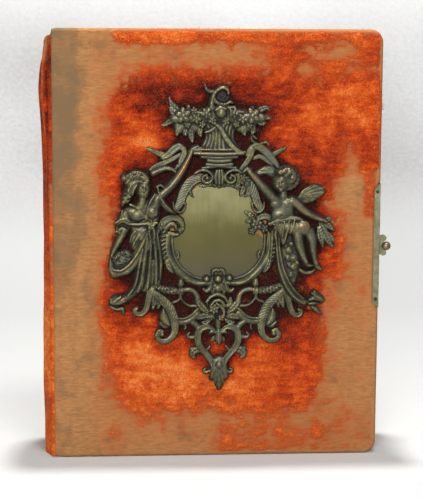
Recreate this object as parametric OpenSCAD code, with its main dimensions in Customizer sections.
// Plush photograph album with a cast mount on the front cover.
// The album stands on its tail edges: X runs from the spine to the fore-edge,
// Y from the front cover to the back cover, Z up. All sizes are millimetres.

/* [Covers] */
// Height of a cover with its plush
cover_h = 285; // [240:1:330]
// Width of a cover from the joint to the fore-edge
cover_w = 217; // [190:1:260]
// Thickness of the millboard in a cover
board_t = 5; // [4:0.1:8]
// Thickness of the plush and its padding
plush_t = 1.5; // [1.2:0.1:2.4]
// Radius of a cover's two fore-edge corners
corner_r = 8.5; // [5:0.5:14]
// Radius of the soft edge all round a cover
edge_r = 2.4; // [1:0.1:3]
// Width of the plush turned in over the inside of a board
turn_in = 16; // [10:1:24]

/* [Spine] */
// How far the round back stands out past the joint
spine_bulge = 7; // [4:0.5:10]
// Thickness of the card that stiffens the round back
spine_card_t = 1.2; // [0.8:0.1:2]
// How much lower than the covers the spine's top has sunk
spine_sink = 6; // [0:0.5:12]
// Radius of the fold of plush that each cover turns on
joint_r = 0.6; // [0.4:0.05:1]
// Depth of the groove between a cover's face and the round back
groove_d = 4.5; // [3.8:0.1:7]
// Thickness of the cloth glued over the guards
mull_t = 0.6; // [0.4:0.1:1.2]
// Diameter of the head band and the tail band
band_d = 3.6; // [2:0.1:5]

/* [Leaves] */
// Number of photograph leaves
leaf_count = 12; // [8:1:16]
// Thickness of the mount card on each side of a leaf
card_t = 0.7; // [0.4:0.05:1.2]
// Depth of a photograph pocket
pocket_t = 0.5; // [0.4:0.05:1]
// Thickness of the linen-backed sheet between the two pockets
divider_t = 0.6; // [0.4:0.05:0.8]
// Space between one leaf and the next
leaf_gap = 0.3; // [0.3:0.05:0.8]
// Thickness of a flyleaf
fly_t = 0.5; // [0.3:0.05:1]
// How far the covers stand out past the leaves
square_w = 4; // [3:0.5:8]
// Distance from the joint edge to the hinge of the leaves
gutter = 9; // [7:0.5:14]
// Width of the bare linen between a leaf's hinge and its cards
linen_w = 14; // [12:0.5:18]
// Width of the closed rim over a pocket
rim_w = 9; // [5:0.5:14]
// Width of a cabinet pocket
cabinet_pocket = 112; // [108:1:130]
// Width of a small pocket
carte_pocket = 67; // [64:1:80]
// Width of a cabinet window
cabinet_w = 98; // [80:1:120]
// Height of a cabinet window
cabinet_h = 138; // [110:1:160]
// Width of a small window
carte_w = 54; // [40:1:64]
// Height of a small window
carte_h = 84; // [60:1:96]
// Radius of the corners of every window
window_r = 7; // [3:0.5:12]

/* [Clasp] */
// Length of a clasp plate along the fore-edge
plate_len = 84; // [60:1:110]
// Width of a clasp plate on a cover's face
plate_w = 4; // [3:0.1:7]
// Thickness of a clasp plate
plate_t = 0.8; // [0.5:0.1:1.2]
// Distance from a plate's end to its nail
nail_inset = 6; // [4:0.5:10]
// Radius of a nail's shank
nail_r = 0.5; // [0.3:0.05:0.8]
// Radius of a nail's head
nail_head_r = 1.1; // [0.9:0.05:1.8]
// Width of the strap
strap_w = 12; // [9:0.5:18]
// Thickness of the strap
strap_t = 1.5; // [1:0.1:1.6]
// Space between the strap and the plates
strap_gap = 0.35; // [0.3:0.05:0.5]
// Radius of a hinge knuckle
knuckle_r = 2; // [1.6:0.1:2.6]
// Radius of the hinge pin
hinge_pin_r = 0.8; // [0.5:0.05:1]
// Running clearance round the hinge pin
pin_clear = 0.05; // [0.02:0.01:0.1]
// Radius of the ball knob
knob_r = 3; // [2:0.1:4]
// Depth of the strap's thick end
end_d = 4; // [3.2:0.1:6]
// Radius of the two round lobes beside the thick end
lobe_r = 2.1; // [1.6:0.1:2.4]
// Radius of the bump on the strap that snaps into the front plate
snap_r = 1.3; // [1:0.05:1.6]

/* [Mount] */
// Height of the cast mount
mount_h = 204; // [150:1:230]
// Thickness of the mount's openwork plate
mount_base = 2.5; // [2:0.1:4]
// Height of the ridges above the openwork plate
ridge_h = 1.7; // [0.8:0.1:3]
// Thickness of the plaque
plaque_t = 1; // [0.6:0.1:1.4]
// Height of the mount's centre above the middle of the cover
mount_rise = 7.5; // [-20:0.5:20]
// Radius of a mount pin
mount_pin_r = 1; // [0.7:0.05:1.4]
// Radius of a mount pin's clinched head
pin_head_r = 2.5; // [1.8:0.1:4]

/* [Hidden] */
// Gap left round pieces that lie side by side
fit_gap = 0.1;
// Gap left round pins and shanks that don't turn
pin_fit = 0.05;
// Thickness of a line of glue in a leaf
glue = 0.02;
// Radius of the sewn edge that a leaf turns on
sewn_r = divider_t;
// Height of a clinched pin head and of a nail head
head_t = 0.6;
cover_t = board_t + 2 * plush_t;
soft_r = min(edge_r, cover_t / 2 - 0.2);
leaf_t = 2 * card_t + 2 * pocket_t + divider_t;
block_t = leaf_count * leaf_t + 2 * fly_t + (leaf_count + 3) * leaf_gap;
album_t = block_t + 2 * cover_t;
front_y = -album_t / 2;
inner_y = front_y + cover_t;
board_y0 = front_y + plush_t;
board_y1 = inner_y - plush_t;
leaf_h = cover_h - 2 * square_w;
leaf_end = cover_w - square_w;
clasp_z = cover_h / 2;
// The fold that a cover turns on lies one plush thickness below its face
joint_x = -joint_r - fit_gap;
joint_y = front_y + plush_t;
spine_half = album_t / 2 - groove_d;
spine_edge_x = joint_x - 0.3;
spine_sag = spine_bulge + spine_edge_x;
spine_r = (spine_half * spine_half + spine_sag * spine_sag) / (2 * spine_sag);
mull_x = 0;
guard_t = leaf_t * 0.5;
guard_end = gutter - sewn_r - fit_gap;
guard_z0 = square_w + band_d + 2;
guard_h = cover_h - 2 * guard_z0;
hinge_x = cover_w + knuckle_r + 0.2;
hinge_y = -(front_y + inner_y) / 2;
strap_x = cover_w + strap_gap;
strap_y0 = front_y + 1;
strap_y1 = hinge_y - knuckle_r - 0.75;
knob_x = cover_w + 4.2;
knob_y = front_y - 1.2;
stem_r = knob_r / 3;
stem_end = strap_y0 + end_d - 1.1;
end_t = knob_x - strap_x + 2 * stem_r;
snap_y = strap_y0 + end_d;
// Height at which the strokes of the mount are drawn, and their highest relief
drawn_h = 204;
drawn_top = 12.2;
ms = mount_h / drawn_h;
mount_x = cover_w / 2 + 0.8;
mount_z = cover_h / 2 + mount_rise;
// The origin is in the middle of the foot print, on the ground
x_min = -spine_bulge;
x_max = knob_x + knob_r;
y_min = front_y - drawn_top * ms;
y_max = -front_y + head_t;
origin = [(x_min + x_max) / 2, (y_min + y_max) / 2, 0];

function leaf_name(i) = str("leaf_", i < 10 ? "0" : "", i);

function leaf_y(i) = inner_y + leaf_gap + fly_t + leaf_gap + (i - 1) * (leaf_t + leaf_gap) + leaf_t / 2;

// Scrollwork of the mount, drawn by eye as strokes: across, up, radius.
// The strokes in this list are mirrored, because the frame is the same on both sides.
scrolls = [
  // Rim round the plaque
  [[0, 35.3, 1.6], [8.5, 35.1, 1.6], [14.7, 33, 1.7], [20.3, 28, 1.8], [23.6, 21.8, 1.8], [24.4, 14, 1.8],
   [23.8, 7, 1.8], [24.5, 2, 1.8], [28.5, 0, 1.8], [31, -4, 1.8], [31.3, -10, 1.8], [29.3, -16.5, 1.8],
   [25, -23, 1.8], [19, -28.5, 1.8], [12, -31.6, 1.8], [0, -32, 1.8]],
  // Outer roll under the plaque
  [[34, -15, 1.6], [31, -22, 2.2], [25.5, -28.5, 2.4], [18.5, -32.6, 2.5], [11, -34, 2.3], [5, -33, 2]],
  // Side scroll
  [[31.5, -23, 1.5], [35, -16, 2.6], [36.7, -8, 2.9], [35.6, 0, 2.9], [32.5, 7, 2.9], [28.3, 10, 2.8],
   [25, 8.3, 2.4], [24.6, 4.3, 2]],
  // Upper scroll with its volute
  [[24.7, 19, 1.6], [27, 16.3, 2.2], [30, 18.5, 2.5], [29.4, 24.5, 2.9], [26.3, 31.3, 3], [21, 37, 3],
   [14.5, 40.6, 2.8], [9, 41.8, 2.2], [5.3, 39.5, 1.6], [6, 36, 1.4], [9.4, 36, 1.4], [9.6, 38.8, 1.4]],
  // Beaded arm and its knob
  [[18, -34.5, 2.4], [25, -36.5, 2.4], [32, -37, 2.6], [38, -35.5, 2.4], [43, -31.5, 2.2]],
  [[25, -30.5, 2.6], [25, -32.5, 2.4]],
  // Links from the frame to the lower rosette
  [[10, -33.5, 2], [11, -38, 2.2], [9, -43, 2.6], [5, -47, 3]],
  [[25.5, -37, 1.2], [23.5, -43.5, 1], [19, -47, 1], [11, -49, 1.4]],
  // Large lower scroll, its bud and its strut
  [[40, -36.5, 2.6], [34.5, -43, 3], [30.3, -50, 3], [29, -58, 2.8], [30.2, -65.3, 2.5], [34.3, -69.8, 2.1],
   [39.2, -70, 1.8], [41.8, -67, 1.6], [40.2, -64, 1.5], [37.3, -65, 1.5]],
  [[32, -52, 1.6], [36.5, -54, 3.6]],
  [[28.5, -57, 1.8], [22, -58.4, 1.7], [16.5, -57, 2.2], [12, -52.5, 3], [5, -49.5, 4]],
  // Drop below the rosette
  [[0, -60, 2.2], [3.5, -63, 1.9], [8, -62.3, 2.3], [12.5, -65.3, 2.5], [13.8, -71, 2.6], [11.5, -76.8, 2.5],
   [7, -81, 2.4], [3, -86, 2.6], [0, -90, 3]],
  [[13, -66, 1.7], [16, -67.8, 1.3], [18.8, -67, 1.3], [18.6, -64.8, 1.2]],
  [[12, -76, 2], [15.5, -77, 2.4], [17, -79.8, 2]],
  [[2.5, -91, 2.2], [8, -92.3, 1.6], [11, -91, 1.4]],
  [[2.5, -95, 2.2], [5.6, -98, 1.6]],
  // Scrolls under the figures
  [[43, -31.5, 2.4], [46.5, -38, 2.6], [48.5, -45, 2.5], [50.5, -51, 2.3], [53, -54.5, 2], [55.8, -53, 1.7]],
  [[40, -36, 2.4], [43, -43, 2.3], [44.3, -48.5, 1.8]],
  // Ribbons
  [[44.2, 57, 0.9], [38, 54, 1.8], [32.5, 51.3, 2.2]],
  [[39, 45.5, 0.9], [35, 48.8, 2], [32.5, 51.3, 2.2], [26, 58, 2.2], [21.5, 53.5, 2.2], [17, 45.5, 2],
   [14.5, 41.5, 2]],
  // Scroll behind each head
  [[22, 37.5, 1.8], [29, 43.5, 2], [36.5, 42.5, 2.6], [43, 40.5, 2.4]]];

// Strokes on the middle line
middle = [
  [[0, 34, 2], [0, 38, 3.4], [0, 43, 2.4]],
  [[0, -24.5, 1.3], [0, -29, 2.4]],
  [[-7.5, -29.3, 2.4], [0, -29, 2.4], [7.5, -29.3, 2.4]],
  [[0, -46, 6], [0, -50, 6.5], [0, -60, 2.4]],
  [[0, -60, 1.8], [0, -68.5, 2.8], [0, -73, 1.1]],
  [[0, -88, 3.6], [0, -94, 4.8], [0, -100, 3], [0.3, -103.8, 1.2]]];

// Limbs and drapery of the lady: across, up, height of the middle above the board, radius
lady = [
  [[-54.5, 34, 3.6, 7.4], [-58, 36, 3, 6]],
  [[-60.5, 36.5, 2.6, 4.4], [-61, 28, 2.5, 3.6], [-60.5, 22, 2.4, 2.4]],
  [[-53, 27, 4, 3.4], [-52, 20, 4, 4.5]],
  [[-61, 13, 3.4, 4.6], [-52, 18, 4.2, 5.2], [-43, 20, 3.8, 4.4]],
  [[-53, 12.5, 5.6, 4.2], [-44.5, 16, 5.4, 4]],
  [[-51, 13, 4, 6], [-46, 6, 4, 5.4]],
  [[-43, 20, 4, 3.8], [-39.5, 27.5, 4, 3.4], [-27, 42, 3.8, 2.9], [-19, 55.5, 3.6, 2.2]],
  [[-39.5, 27.5, 3.6, 3], [-35, 20, 3, 2.4], [-30.5, 14.5, 2.6, 1.8]],
  [[-62, 12, 3.6, 4.4], [-64, 7, 3.6, 4], [-68.5, -5, 3.4, 3], [-71, -14, 3, 2.4]],
  [[-71, -16, 3, 2.2], [-69.5, -24, 3.2, 2.8], [-61, -24.5, 3.6, 2.6], [-53, -17, 4, 2.4], [-47, -3, 4.4, 2.2]],
  [[-66, -16, 4.4, 3.4], [-60, -13, 4.6, 3.4], [-55, -9, 4.4, 3]],
  [[-46, 5, 4.4, 6], [-48, -8, 4.4, 8], [-47, -22, 4, 8.5], [-46, -29, 3.6, 7.5]],
  [[-52, -28, 3.4, 4.4], [-55.5, -36, 3, 3.4], [-61, -42, 2.8, 2.8], [-66, -43, 2.8, 3.2], [-69, -46, 2.8, 3],
   [-66, -50, 2.4, 2]]];

// Limbs, wing and drapery of the winged child
putto = [
  [[43.5, 36.5, 3.8, 7.4], [46, 38.5, 3.2, 6]],
  [[43, 29, 4, 3.2], [43, 21, 4, 5.8], [42.5, 13, 4, 5.6], [44, 7, 4, 6]],
  [[50, 22, 3.8, 4], [56, 15.5, 3.6, 3.2], [63, 11, 3.4, 2.8], [69, 8.5, 3.2, 2.2]],
  [[38, 23, 4, 3.6], [31, 31, 4, 3.2], [22, 41.5, 3.8, 2.6], [18.5, 41, 3.8, 2.4]],
  [[52, 25, 2.8, 3], [60, 28.5, 2.6, 4.4], [68, 30, 2.2, 2.2]],
  [[70, 6, 3, 4], [72, -1, 2.8, 3.6], [74.5, -7, 2.4, 1.8]],
  [[72, 2, 2.8, 3], [76, 3.5, 2.2, 1.4]],
  [[35, 4, 4, 3.4], [45, 2, 4.6, 5.6], [54.5, 5, 5.2, 5.2]],
  [[54.5, 4, 5, 4.6], [53.5, -9, 4, 3.6], [56.5, -18, 3.4, 2.6], [60, -20.5, 3, 2.2]],
  [[54, 4, 4, 4.4], [61.5, -2, 3.8, 3.6], [62, -11, 3.4, 3], [64, -18.5, 3, 2.4], [67, -21.5, 2.8, 2]],
  [[48, -6, 3, 4.6], [48, -17, 2.8, 5], [47, -29, 2.6, 4.2]],
  [[39, 5, 3.8, 3], [40, -6, 3.4, 3], [41.5, -18, 3, 3], [44.5, -32, 2.8, 3.2], [50, -41.5, 2.8, 2.8],
   [57, -46, 2.6, 2.6], [63, -44, 2.8, 3.4], [68, -42, 2.8, 3], [66, -50, 2.4, 1.8]]];

// Urn, flowers and the curl on top
urn = [
  [[-10.5, 45, 3, 1.4], [11, 45, 3, 1.4]],
  [[-6, 48.3, 3.2, 2.4], [6, 48.3, 3.2, 2.4]],
  [[-15, 53, 3.8, 2.6], [14, 53, 3.8, 2.6]],
  [[-7, 59, 4, 3.6], [7.5, 59, 4, 3.6]],
  [[-5.5, 65, 4.2, 4], [6, 65, 4.2, 4]],
  [[-7, 71, 4.2, 4.4], [7.5, 71, 4.2, 4.4]],
  [[-26, 76, 3, 3.6], [0, 75, 4, 4], [26, 77, 3, 3.6]],
  [[-24, 79.5, 4, 4.4], [-21, 80, 4, 4.4]],
  [[-14, 78, 5, 4.8], [-11, 78.5, 5, 4.8]],
  [[0, 79, 6, 4.6], [2, 79.5, 6, 4.6]],
  [[12, 78, 5.2, 4.6], [14.5, 77.5, 5.2, 4.6]],
  [[21, 79, 4.2, 4.4], [24, 79.5, 4, 4.2]],
  [[-26, 80, 3.4, 3.2], [-32, 89, 2.4, 1.2]],
  [[-27, 75.5, 3.2, 3], [-36.5, 72.5, 2.2, 1.2]],
  [[-24, 74, 3.2, 3], [-27, 66.5, 2.4, 1.6]],
  [[-17, 72, 3.2, 2.6], [-18, 62.5, 2.4, 1.6]],
  [[26, 80, 3.2, 3.2], [30.5, 83.5, 2.4, 1.4]],
  [[26, 77.5, 3, 3], [33.5, 76.5, 2.2, 1.3]],
  [[18, 73, 3.2, 2.8], [20, 67.5, 2.6, 2], [24.5, 69, 2.4, 1.6]],
  [[20, 67, 2.6, 1.6], [21.7, 62.5, 2.2, 1], [24, 60.2, 2.2, 1], [28, 60.3, 2.2, 1], [32.5, 59.3, 2.2, 1]],
  [[-4, 83, 3.4, 2.8], [-3, 91, 3.2, 2], [1.5, 95.8, 3, 1.8], [5.6, 94.5, 2.8, 1.5]],
  [[-9, 96.5, 2.6, 1.2], [-7, 94.3, 2.8, 1.5], [-3, 94.3, 3, 1.7]],
  [[-2.6, 90, 3.2, 1.8], [2, 85.8, 3.2, 1.8], [8, 87, 2.8, 1.4]],
  [[1.5, 66.5, 6, 1.8], [8, 60, 5.6, 1.8], [15, 54, 4.6, 1.8]]];

// Where pins hold the mount to the board
pin_places = [[0, -48], [-30.3, -50], [30.3, -50], [0, 53], [-50, -10], [43, 14]];

// Right half of the plaque's outline, from the top to the bottom
plaque_half = [[0, 35], [8, 35], [13.5, 33.2], [19, 28.5], [22.5, 22], [23.5, 14], [23, 7], [23.2, 2.2],
  [26.5, 0.5], [29.8, -2.5], [30.8, -8], [29.7, -14.6], [26.2, -21.5], [20.4, -27.3], [12.5, -30.9],
  [6, -31.2], [0, -31.2]];

// Point on a smooth curve through a list of points, s spans from its start
function at(p, i) = p[max(0, min(len(p) - 1, i))];

function curve(a, b, c, d, t) =
  0.5 * (2 * b + (c - a) * t + (2 * a - 5 * b + 4 * c - d) * t * t + (3 * b - a - 3 * c + d) * t * t * t);

function smooth(p, n) = len(p) < 3 ? p : concat(
  [for (i = [0:len(p) - 2]) for (k = [0:n - 1])
    curve(at(p, i - 1), at(p, i), at(p, i + 1), at(p, i + 2), k / n)],
  [p[len(p) - 1]]);

// Moves the whole album so that its origin is under its middle
module place() {
  translate(-origin) children();
}

// A flat shape drawn in the plane of the covers, given its thickness from y0 to y1
module slab(y0, y1) {
  translate([0, y1, 0]) rotate([90, 0, 0]) linear_extrude(y1 - y0) children();
}

// Outline of a cover, inset on all sides
module cover_shape(inset) {
  r = corner_r - inset;
  x1 = cover_w - inset;
  z1 = cover_h - inset;
  translate([inset, inset]) square([x1 - r - inset, z1 - inset]);
  translate([inset, inset + r]) square([x1 - inset, z1 - inset - 2 * r]);
  translate([x1 - r, inset + r]) circle(r, $fn = 48);
  translate([x1 - r, z1 - r]) circle(r, $fn = 48);
}

// One rounded corner disc of a cover's soft outer form
module corner_disc(y, z) {
  translate([cover_w - corner_r, y, z]) rotate([90, 0, 0])
    rotate_extrude($fn = 32) translate([corner_r - soft_r, 0]) circle(soft_r, $fn = 16);
}

// Soft outer form of a cover
module cover_form() {
  hull() {
    for (y = [front_y + soft_r, inner_y - soft_r]) {
      for (z = [corner_r, cover_h - corner_r]) corner_disc(y, z);
      for (z = [soft_r, cover_h - soft_r]) translate([soft_r, y, z]) sphere(soft_r, $fn = 16);
    }
  }
}

// Ground shape of a clasp plate's flange, with its inner corners cut off
module flange_shape() {
  l = plate_len / 2;
  cut = plate_w * 0.9;
  polygon([[cover_w, clasp_z - l], [cover_w, clasp_z + l], [cover_w - plate_w, clasp_z + l - cut],
    [cover_w - plate_w, clasp_z - l + cut]]);
}

// Channel that grips the fore-edge of the front cover, without its holes
module channel() {
  translate([cover_w - plate_t, front_y, clasp_z - plate_len / 2]) cube([plate_t, cover_t, plate_len]);
  slab(front_y, front_y + plate_t) flange_shape();
  slab(inner_y - plate_t, inner_y) flange_shape();
}

// Round bars along Y where the nails go, from y0 to y1
module nail_bars(r, y0, y1) {
  for (s = [-1, 1])
    translate([cover_w - plate_w / 2, y1, clasp_z + s * (plate_len / 2 - nail_inset)])
      rotate([90, 0, 0]) cylinder(r = r, h = y1 - y0, $fn = 24);
}

// Round bars along Y where the mount pins go
module pin_bars(r, y0, y1) {
  for (p = pin_places)
    translate([mount_x + p[0] * ms, y1, mount_z + p[1] * ms])
      rotate([90, 0, 0]) cylinder(r = r, h = y1 - y0, $fn = 32);
}

// Board of a cover, in the place of the front one
module board() {
  slab(board_y0, board_y1) cover_shape(plush_t);
}

// Plush of a cover with the room for the board, the pastedown, the clasp plate and its nails
module plush() {
  difference() {
    cover_form();
    board();
    translate([turn_in, board_y1 - 0.01, turn_in])
      cube([cover_w - 2 * turn_in, plush_t + 1, cover_h - 2 * turn_in]);
    channel();
    nail_bars(nail_r + pin_fit, front_y - 1, board_y0 + 0.5);
    nail_bars(nail_r + pin_fit, board_y1 - 0.5, inner_y + 1);
  }
}

module pastedown() {
  translate([turn_in + fit_gap, board_y1, turn_in + fit_gap])
    cube([cover_w - 2 * turn_in - 2 * fit_gap, plush_t, cover_h - 2 * turn_in - 2 * fit_gap]);
}

module holes_for_nails() {
  nail_bars(nail_r + pin_fit, front_y - 1, front_y + plush_t + 3);
  nail_bars(nail_r + pin_fit, inner_y - plush_t - 2, inner_y + 1);
}

// Nails of a clasp plate, two on the outer flange and two on the inner one
module nails() {
  nail_bars(nail_r, front_y - 0.1, front_y + plush_t + 2.5);
  nail_bars(nail_head_r, front_y - head_t, front_y);
  nail_bars(nail_r, inner_y - plush_t - 1.5, inner_y + 0.1);
  nail_bars(nail_head_r, inner_y, inner_y + head_t);
}

// Round back between two radii
module back_arc(r1, r0, z0, z1) {
  translate([0, 0, z0]) linear_extrude(z1 - z0) intersection() {
    translate([spine_r - spine_bulge, 0]) difference() {
      circle(r1, $fn = 160);
      circle(r0, $fn = 160);
    }
    translate([-spine_bulge - 1, -spine_half]) square([spine_bulge + 1 - fit_gap, 2 * spine_half]);
  }
}

// Fold of plush that the front cover turns on
module fold() {
  translate([joint_x, joint_y, 3]) cylinder(r = joint_r, h = cover_h - 6 - spine_sink, $fn = 32);
  translate([joint_x - joint_r * 0.8, joint_y, 3])
    cube([joint_r * 1.6, -spine_half - joint_y, cover_h - 6 - spine_sink]);
}

module spine_plush() {
  color("orangered") back_arc(spine_r, spine_r - plush_t, 0, cover_h - spine_sink);
}

module spine_card() {
  color("tan") back_arc(spine_r - plush_t, spine_r - plush_t - spine_card_t, 2, cover_h - spine_sink - 2);
}

module front_joint_cloth() {
  color("firebrick") fold();
}

module back_joint_cloth() {
  color("firebrick") mirror([0, 1, 0]) fold();
}

module mull() {
  color("linen") translate([mull_x, -block_t / 2 + leaf_gap, guard_z0 - 3])
    cube([mull_t, block_t - 2 * leaf_gap, guard_h + 6]);
}

module linen_guards() {
  color("ivory") for (i = [1:leaf_count])
    translate([mull_x + mull_t, leaf_y(i) - guard_t / 2, guard_z0])
      cube([guard_end - mull_x - mull_t, guard_t, guard_h]);
}

// Band across the end of the guards
module band(z) {
  translate([mull_x + mull_t + band_d / 2 + fit_gap, block_t / 2 - 3, z])
    rotate([90, 0, 0]) cylinder(r = band_d / 2, h = block_t - 6, $fn = 32);
}

module head_band() {
  color("darkred") band(guard_z0 + guard_h + band_d / 2 + fit_gap);
}

module tail_band() {
  color("darkred") band(guard_z0 - band_d / 2 - fit_gap);
}

module front_board() {
  color("sienna") difference() {
    board();
    pin_bars(mount_pin_r + pin_fit, board_y0 - 1, board_y1 + 1);
    holes_for_nails();
  }
}

module front_plush() {
  color("orangered") difference() {
    plush();
    pin_bars(mount_pin_r + pin_fit, front_y - 1, board_y0 + 1);
  }
}

module front_pastedown() {
  color("ivory") difference() {
    pastedown();
    pin_bars(pin_head_r + fit_gap, board_y1 - 1, board_y1 + head_t + fit_gap);
  }
}

module back_board() {
  color("sienna") mirror([0, 1, 0]) difference() {
    board();
    holes_for_nails();
  }
}

module back_plush() {
  color("orangered") mirror([0, 1, 0]) plush();
}

module back_pastedown() {
  color("ivory") mirror([0, 1, 0]) pastedown();
}

// Flat outline of strokes, each point across, up and radius in place r
module strokes_2d(list, n, r, k) {
  for (p = list) {
    q = smooth(p, n);
    for (i = [0:len(q) - 2]) hull() {
      translate([q[i][0], q[i][1]]) circle(q[i][r] * k, $fn = 8);
      translate([q[i + 1][0], q[i + 1][1]]) circle(q[i + 1][r] * k, $fn = 8);
    }
  }
}

module both_sides() {
  children();
  mirror([1, 0]) children();
}

module plaque_shape() {
  polygon(concat(plaque_half, [for (i = [len(plaque_half) - 2:-1:1]) [-plaque_half[i][0], plaque_half[i][1]]]));
}

module figures_2d(k) {
  strokes_2d(lady, 1, 3, k);
  strokes_2d(putto, 1, 3, k);
  strokes_2d(urn, 1, 3, k);
}

// Puts mount coordinates on the front cover, with the height above the cover along -Y
module on_cover() {
  translate([mount_x, front_y, mount_z]) rotate([90, 0, 0]) scale(ms) children();
}

// Rounded relief of a figure, cut off at the front of the openwork plate
module relief(list) {
  base = mount_base / ms;
  difference() {
    for (p = list) for (i = [0:len(p) - 2]) hull() {
      translate([p[i][0], p[i][1], p[i][2]]) sphere(p[i][3], $fn = 12);
      translate([p[i + 1][0], p[i + 1][1], p[i + 1][2]]) sphere(p[i + 1][3], $fn = 12);
    }
    translate([-drawn_h, -drawn_h, base - drawn_h]) cube([2 * drawn_h, 2 * drawn_h, drawn_h]);
  }
}

module mount_frame() {
  base = mount_base / ms;
  seat = (plaque_t + fit_gap) / ms;
  color("dimgray") on_cover() {
    difference() {
      linear_extrude(base) {
        both_sides() strokes_2d(scrolls, 2, 2, 1);
        strokes_2d(middle, 1, 2, 1);
        figures_2d(0.96);
      }
      translate([0, 0, -1]) linear_extrude(seat + 1) scale(1.005) plaque_shape();
    }
    translate([0, 0, base - 0.05]) linear_extrude(ridge_h / ms) difference() {
      union() {
        both_sides() strokes_2d(scrolls, 1, 2, 0.55);
        strokes_2d(middle, 1, 2, 0.6);
      }
      figures_2d(1.1);
    }
  }
}

module lady_figure() {
  color("gray") on_cover() relief(lady);
}

module putto_figure() {
  color("gray") on_cover() relief(putto);
}

module flower_urn() {
  color("gray") on_cover() relief(urn);
}

module plaque() {
  color("darkkhaki") on_cover() linear_extrude(plaque_t / ms) plaque_shape();
}

module mount_pins() {
  color("silver") {
    pin_bars(mount_pin_r, front_y, board_y1 + 0.1);
    pin_bars(pin_head_r, board_y1, board_y1 + head_t);
  }
}

module front_clasp_plate() {
  color("silver") difference() {
    channel();
    holes_for_nails();
    translate([cover_w + 1, snap_y, clasp_z]) rotate([0, -90, 0])
      cylinder(r = snap_r + 0.3, h = plate_t + 2, $fn = 24);
  }
}

module front_clasp_nails() {
  color("silver") nails();
}

// Outer knuckles of the clasp hinge stand on the back plate
module back_clasp_plate() {
  z0 = clasp_z - strap_w / 2;
  third = strap_w / 3;
  color("silver") difference() {
    union() {
      mirror([0, 1, 0]) channel();
      for (z = [z0, z0 + 2 * third + fit_gap]) {
        translate([hinge_x, hinge_y, z]) cylinder(r = knuckle_r, h = third - fit_gap, $fn = 32);
        translate([cover_w - plate_t / 2, hinge_y - 1.1, z])
          cube([hinge_x - cover_w + plate_t / 2, 2.2, third - fit_gap]);
      }
    }
    mirror([0, 1, 0]) holes_for_nails();
    translate([hinge_x, hinge_y, z0 - 1]) cylinder(r = hinge_pin_r + pin_fit, h = strap_w + 2, $fn = 32);
  }
}

module back_clasp_nails() {
  color("silver") mirror([0, 1, 0]) nails();
}

module clasp_hinge_pin() {
  color("silver") translate([hinge_x, hinge_y, clasp_z - strap_w / 2])
    cylinder(r = hinge_pin_r, h = strap_w, $fn = 32);
}

// Strap with its knuckle at the back, and a thicker end with two lobes at the front
module clasp_strap() {
  third = strap_w / 3;
  color("silver") difference() {
    union() {
      translate([strap_x, strap_y0, clasp_z - strap_w / 2]) cube([strap_t, strap_y1 - strap_y0, strap_w]);
      translate([strap_x, strap_y1 - 0.5, clasp_z - third / 2 + fit_gap])
        cube([strap_t, hinge_y - strap_y1 + 0.5, third - 2 * fit_gap]);
      translate([hinge_x, hinge_y, clasp_z - third / 2 + fit_gap])
        cylinder(r = knuckle_r, h = third - 2 * fit_gap, $fn = 32);
      translate([strap_x, strap_y0, clasp_z - third / 2]) cube([end_t, end_d, third]);
      for (s = [-1, 1])
        translate([strap_x + lobe_r + 0.2, snap_y - 0.5, clasp_z + s * (strap_w / 2 - 1.2)])
          rotate([90, 0, 0]) cylinder(r = lobe_r, h = end_d - 0.5, $fn = 32);
      translate([strap_x + 0.5, snap_y, clasp_z]) sphere(snap_r, $fn = 32);
    }
    translate([knob_x, strap_y0 - 1, clasp_z]) rotate([-90, 0, 0])
      cylinder(r = stem_r + pin_fit, h = stem_end + fit_gap - strap_y0 + 1, $fn = 32);
    translate([hinge_x, hinge_y, clasp_z - strap_w]) cylinder(r = hinge_pin_r + pin_clear, h = 2 * strap_w, $fn = 32);
  }
}

// Ball that sits flat on the strap's end, with a stem that goes into it
module clasp_knob() {
  color("khaki") {
    difference() {
      translate([knob_x, knob_y, clasp_z]) sphere(knob_r, $fn = 48);
      translate([knob_x - knob_r, strap_y0, clasp_z - knob_r]) cube(2 * knob_r);
    }
    translate([knob_x, knob_y, clasp_z]) rotate([-90, 0, 0])
      cylinder(r = stem_r, h = stem_end - knob_y, $fn = 32);
  }
}

// Thin sheet with a round edge on its own hinge line
module flyleaf(y) {
  translate([gutter, y - fly_t / 2, square_w]) cube([leaf_end - gutter, fly_t, leaf_h]);
  translate([gutter, y, square_w]) cylinder(r = fly_t / 2 + 0.05, h = leaf_h, $fn = 24);
}

module front_flyleaf() {
  color("ivory") flyleaf(inner_y + leaf_gap + fly_t / 2);
}

module rear_flyleaf() {
  color("ivory") flyleaf(-inner_y - leaf_gap - fly_t / 2);
}

// Window with round corners, by its middle and its size
module window(x, z, w, h) {
  r = window_r;
  translate([x - w / 2 + r, z - h / 2]) square([w - 2 * r, h]);
  translate([x - w / 2, z - h / 2 + r]) square([w, h - 2 * r]);
  for (sx = [-1, 1], sz = [-1, 1]) translate([x + sx * (w / 2 - r), z + sz * (h / 2 - r)]) circle(r, $fn = 32);
}

// Windows of a leaf: one large one, or four small ones
module windows(i) {
  x0 = gutter + linen_w;
  xm = (x0 + leaf_end) / 2;
  zm = square_w + leaf_h / 2;
  if (i % 2 == 1) window(xm, zm + 4, cabinet_w, cabinet_h);
  if (i % 2 == 0) for (sx = [-1, 1], sz = [-1, 1])
    window(xm + sx * (leaf_end - x0) / 4, zm + sz * leaf_h / 4, carte_w, carte_h);
}

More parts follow.
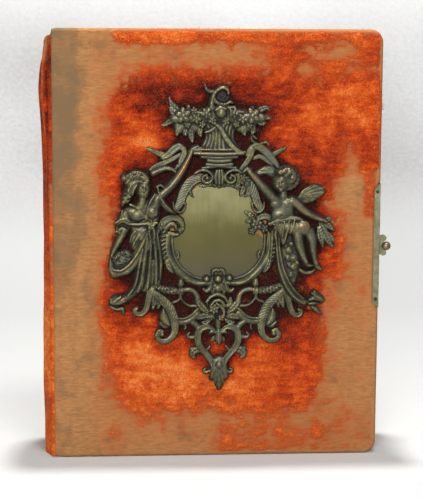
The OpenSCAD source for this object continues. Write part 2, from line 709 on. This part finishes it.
// Strip of a leaf's rim, on the front layer at y and on the back one
module strip(y, x0, x1, z0, z1) {
  for (d = [0, pocket_t + divider_t])
    translate([x0, y + d + glue, z0]) cube([x1 - x0, pocket_t - 2 * glue, z1 - z0]);
}

// Leaf of two mount cards, rims and a linen-backed sheet with a sewn edge. The pockets open at the tail.
module leaf(i) {
  x0 = gutter + linen_w;
  xm = (x0 + leaf_end) / 2;
  y0 = leaf_y(i) - leaf_t / 2;
  y1 = y0 + card_t;
  z1 = square_w + leaf_h;
  quarter = (leaf_end - x0) / 4;
  side = i % 2 == 1 ? cabinet_pocket / 2 : quarter + carte_pocket / 2;
  mid = quarter - carte_pocket / 2;
  color("ivory") {
    translate([gutter, leaf_y(i), square_w]) cylinder(r = sewn_r, h = leaf_h, $fn = 32);
    translate([gutter, leaf_y(i) - divider_t / 2, square_w]) cube([leaf_end - gutter, divider_t, leaf_h]);
  }
  color("wheat") for (y = [y0, y0 + leaf_t - card_t]) slab(y, y + card_t) difference() {
    translate([x0, square_w]) square([leaf_end - x0, leaf_h]);
    windows(i);
  }
  color("gold") {
    strip(y1, x0, xm - side, square_w, z1 - rim_w - fit_gap);
    strip(y1, xm + side, leaf_end, square_w, z1 - rim_w - fit_gap);
    strip(y1, x0, leaf_end, z1 - rim_w, z1);
    if (i % 2 == 0) strip(y1, xm - mid, xm + mid, square_w, z1 - rim_w - fit_gap);
  }
}

place() spine_card();
place() spine_plush();
place() front_joint_cloth();
place() back_joint_cloth();
place() mull();
place() linen_guards();
place() head_band();
place() tail_band();
place() front_board();
place() front_plush();
place() front_pastedown();
place() mount_frame();
place() lady_figure();
place() putto_figure();
place() flower_urn();
place() plaque();
place() mount_pins();
place() front_clasp_plate();
place() front_clasp_nails();
place() back_board();
place() back_plush();
place() back_pastedown();
place() back_clasp_plate();
place() back_clasp_nails();
place() clasp_hinge_pin();
place() clasp_strap();
place() clasp_knob();
place() front_flyleaf();
place() rear_flyleaf();
for (i = [1:leaf_count]) place() leaf(i);
